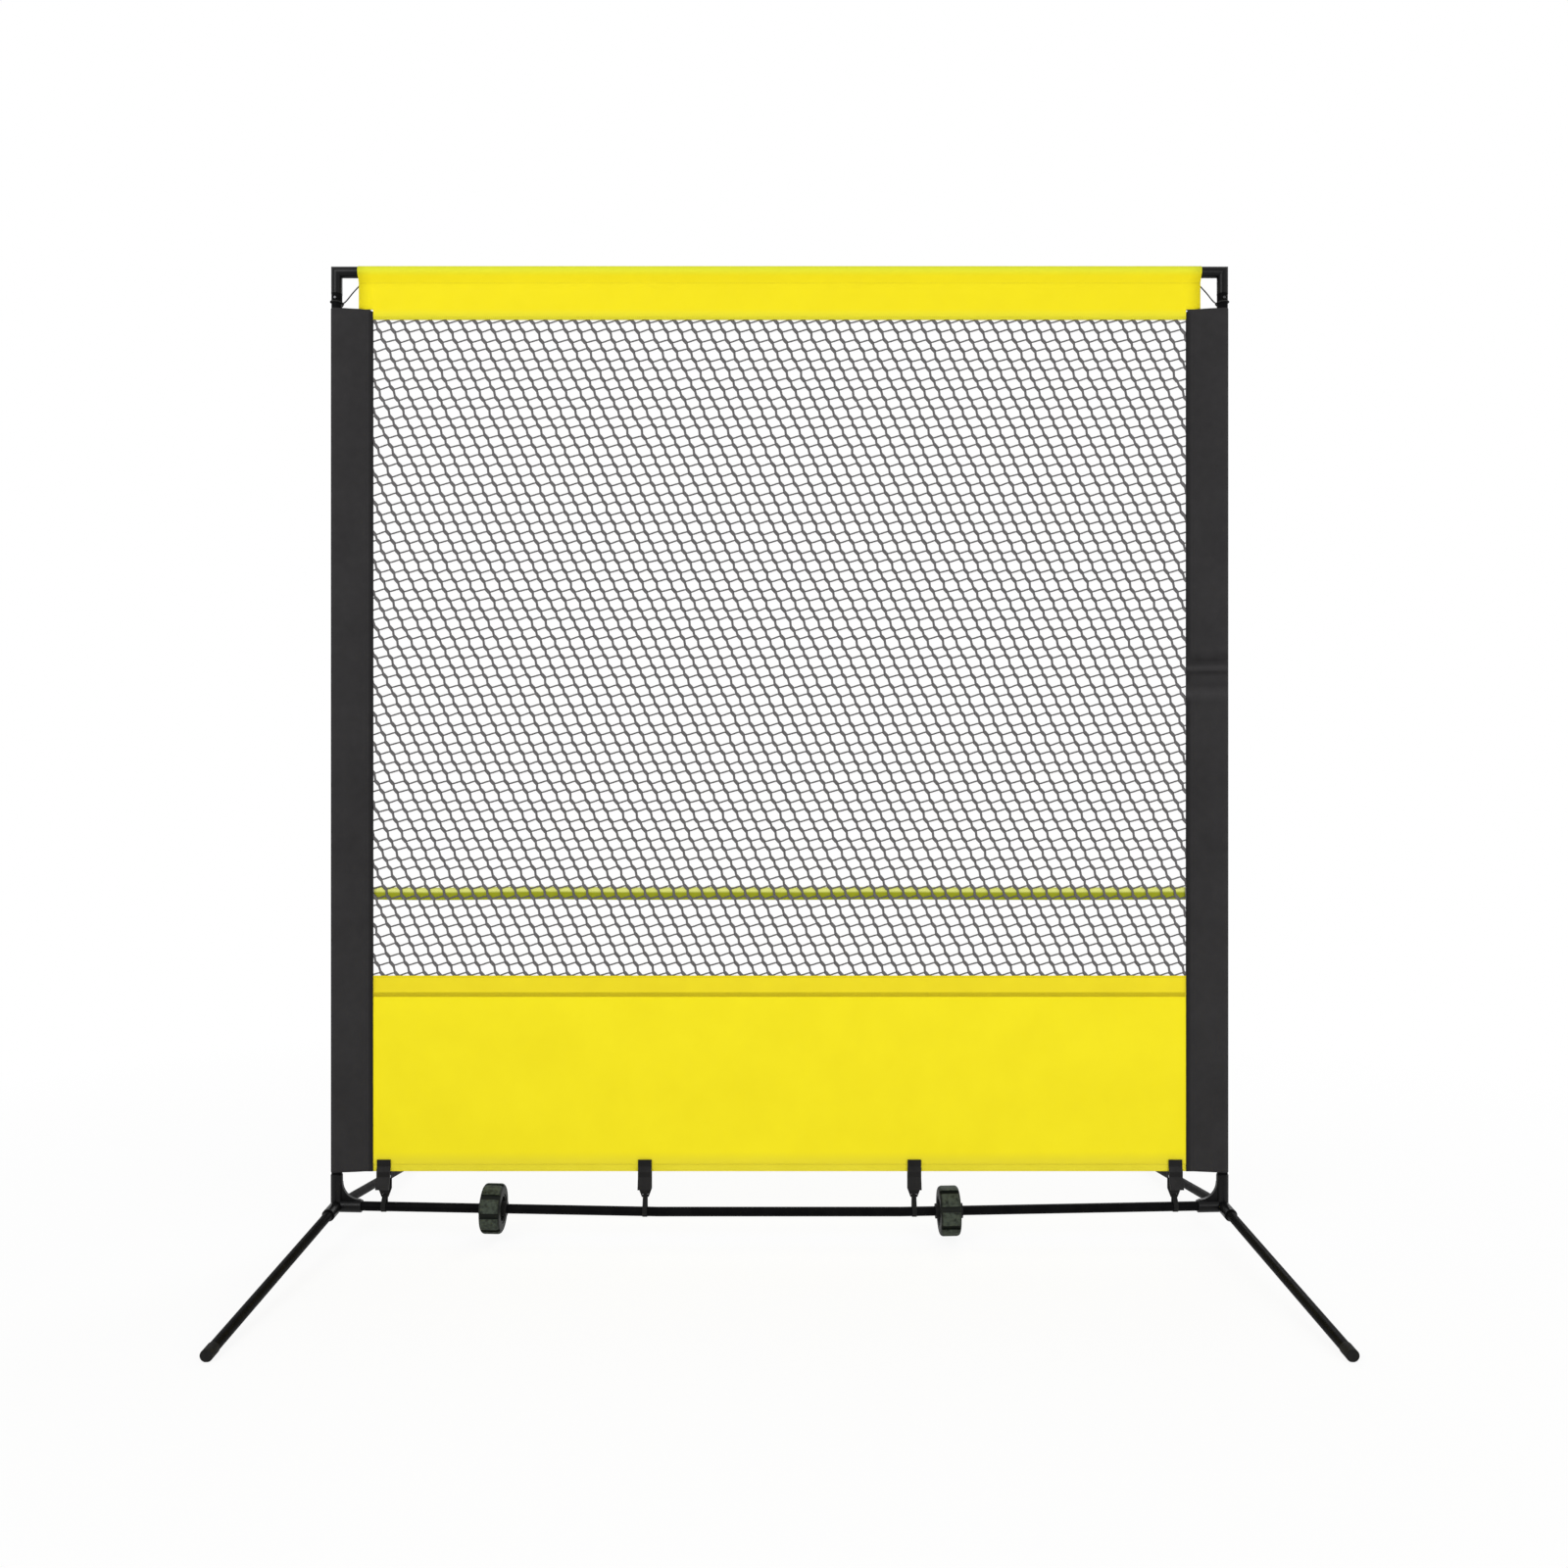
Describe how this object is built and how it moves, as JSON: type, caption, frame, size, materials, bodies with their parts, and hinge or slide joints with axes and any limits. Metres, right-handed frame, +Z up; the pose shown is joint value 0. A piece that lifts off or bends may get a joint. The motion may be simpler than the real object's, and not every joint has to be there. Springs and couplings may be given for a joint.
{
  "type": "tennis rebound net",
  "caption": "Free-standing tennis rebound net: a tube frame on sloping legs holds a mesh with a yellow top band, a net-height line and a cloth lower panel, with wheels on the bottom bar.",
  "frame": {"origin": "on the floor, in the middle of the frame, in the plane of the net", "axes": "+Z up, +X to the right and -Y towards the player who faces the net"},
  "size_m": [2.1361, 1.4018, 2.3121],
  "materials": {
    "black_tube": "satin powder coat",
    "corner_plastic": "moulded, slightly glossy",
    "bright_steel": "blackened steel",
    "spring_steel": "zinc plated",
    "black_fabric": "coated woven polyester",
    "yellow_fabric": "coated woven polyester",
    "net_cord": "knitted cord",
    "line_tape": "woven tape",
    "cord": "braided cord",
    "strap_webbing": "elastic webbing",
    "clip_plastic": "moulded, matt",
    "collar_plastic": "moulded, matt",
    "wheel_plastic": "moulded, matt",
    "tyre_rubber": "moulded rubber",
    "foot_rubber": "moulded rubber"
  },
  "bodies": {
    "frame": {"left_lower_upright": "black_tube", "left_upper_upright": "black_tube", "right_lower_upright": "black_tube", "right_upper_upright": "black_tube", "left_top_bar": "black_tube", "right_top_bar": "black_tube", "left_bottom_bar": "black_tube", "middle_bottom_bar": "black_tube", "right_bottom_bar": "black_tube", "left_front_leg": "black_tube", "left_rear_leg": "black_tube", "right_front_leg": "black_tube", "right_rear_leg": "black_tube", "left_corner_connector": "corner_plastic", "left_top_elbow": "corner_plastic", "left_button_spring": "spring_steel", "left_side_sleeve": "black_fabric", "left_corner_tie": "cord", "left_wheel_collars": "collar_plastic", "left_front_foot": "foot_rubber", "left_rear_foot": "foot_rubber", "right_corner_connector": "corner_plastic", "right_top_elbow": "corner_plastic", "right_button_spring": "spring_steel", "right_side_sleeve": "black_fabric", "right_corner_tie": "cord", "right_wheel_collars": "collar_plastic", "right_front_foot": "foot_rubber", "right_rear_foot": "foot_rubber", "collar_screws": "spring_steel", "left_outer_clip_rear_jaw": "clip_plastic", "left_outer_clip_strap": "strap_webbing", "left_inner_clip_rear_jaw": "clip_plastic", "left_inner_clip_strap": "strap_webbing", "right_inner_clip_rear_jaw": "clip_plastic", "right_inner_clip_strap": "strap_webbing", "right_outer_clip_rear_jaw": "clip_plastic", "right_outer_clip_strap": "strap_webbing", "clip_pins": "spring_steel", "clip_springs": "spring_steel", "top_band": "yellow_fabric", "net": "net_cord", "target_line": "line_tape", "lower_panel": "yellow_fabric"},
    "left_wheel": {"left_wheel_hub": "wheel_plastic", "left_tyre": "tyre_rubber"},
    "right_wheel": {"right_wheel_hub": "wheel_plastic", "right_tyre": "tyre_rubber"},
    "left_outer_clip_jaw": {"left_outer_clip_front_jaw": "clip_plastic"},
    "left_inner_clip_jaw": {"left_inner_clip_front_jaw": "clip_plastic"},
    "right_inner_clip_jaw": {"right_inner_clip_front_jaw": "clip_plastic"},
    "right_outer_clip_jaw": {"right_outer_clip_front_jaw": "clip_plastic"},
    "left_button": {"left_snap_button": "bright_steel"},
    "right_button": {"right_snap_button": "bright_steel"}
  },
  "joints": [
    {"name": "left_wheel_spin", "type": "hinge", "parent": "frame", "child": "left_wheel", "pos_m": [-0.68, 0, 0.07292], "axis": [0.9998, 0, -0.019], "continuous": true},
    {"name": "right_wheel_spin", "type": "hinge", "parent": "frame", "child": "right_wheel", "pos_m": [0.402, 0, 0.06763], "axis": [0.9998, 0, 0.019], "continuous": true},
    {"name": "left_outer_clip_open", "type": "hinge", "parent": "frame", "child": "left_outer_clip_jaw", "pos_m": [-0.94, 0, 0.1495], "axis": [1, 0, 0], "range_deg": [0, 25], "stiffness_Nm_per_rad": 0.3, "springref_deg": -20.05},
    {"name": "left_inner_clip_open", "type": "hinge", "parent": "frame", "child": "left_inner_clip_jaw", "pos_m": [-0.32, 0, 0.1495], "axis": [1, 0, 0], "range_deg": [0, 25], "stiffness_Nm_per_rad": 0.3, "springref_deg": -20.05},
    {"name": "right_inner_clip_open", "type": "hinge", "parent": "frame", "child": "right_inner_clip_jaw", "pos_m": [0.32, 0, 0.1495], "axis": [1, 0, 0], "range_deg": [0, 25], "stiffness_Nm_per_rad": 0.3, "springref_deg": -20.05},
    {"name": "right_outer_clip_open", "type": "hinge", "parent": "frame", "child": "right_outer_clip_jaw", "pos_m": [0.94, 0, 0.1495], "axis": [1, 0, 0], "range_deg": [0, 25], "stiffness_Nm_per_rad": 0.3, "springref_deg": -20.05},
    {"name": "left_button_press", "type": "slide", "parent": "frame", "child": "left_button", "axis": [0, 1, 0], "range_m": [0, 0.004], "stiffness_N_per_m": 900, "springref_m": -0.003, "deforming": ["left_button_spring"]},
    {"name": "right_button_press", "type": "slide", "parent": "frame", "child": "right_button", "axis": [0, 1, 0], "range_m": [0, 0.004], "stiffness_N_per_m": 900, "springref_m": -0.003, "deforming": ["right_button_spring"]}
  ]
}
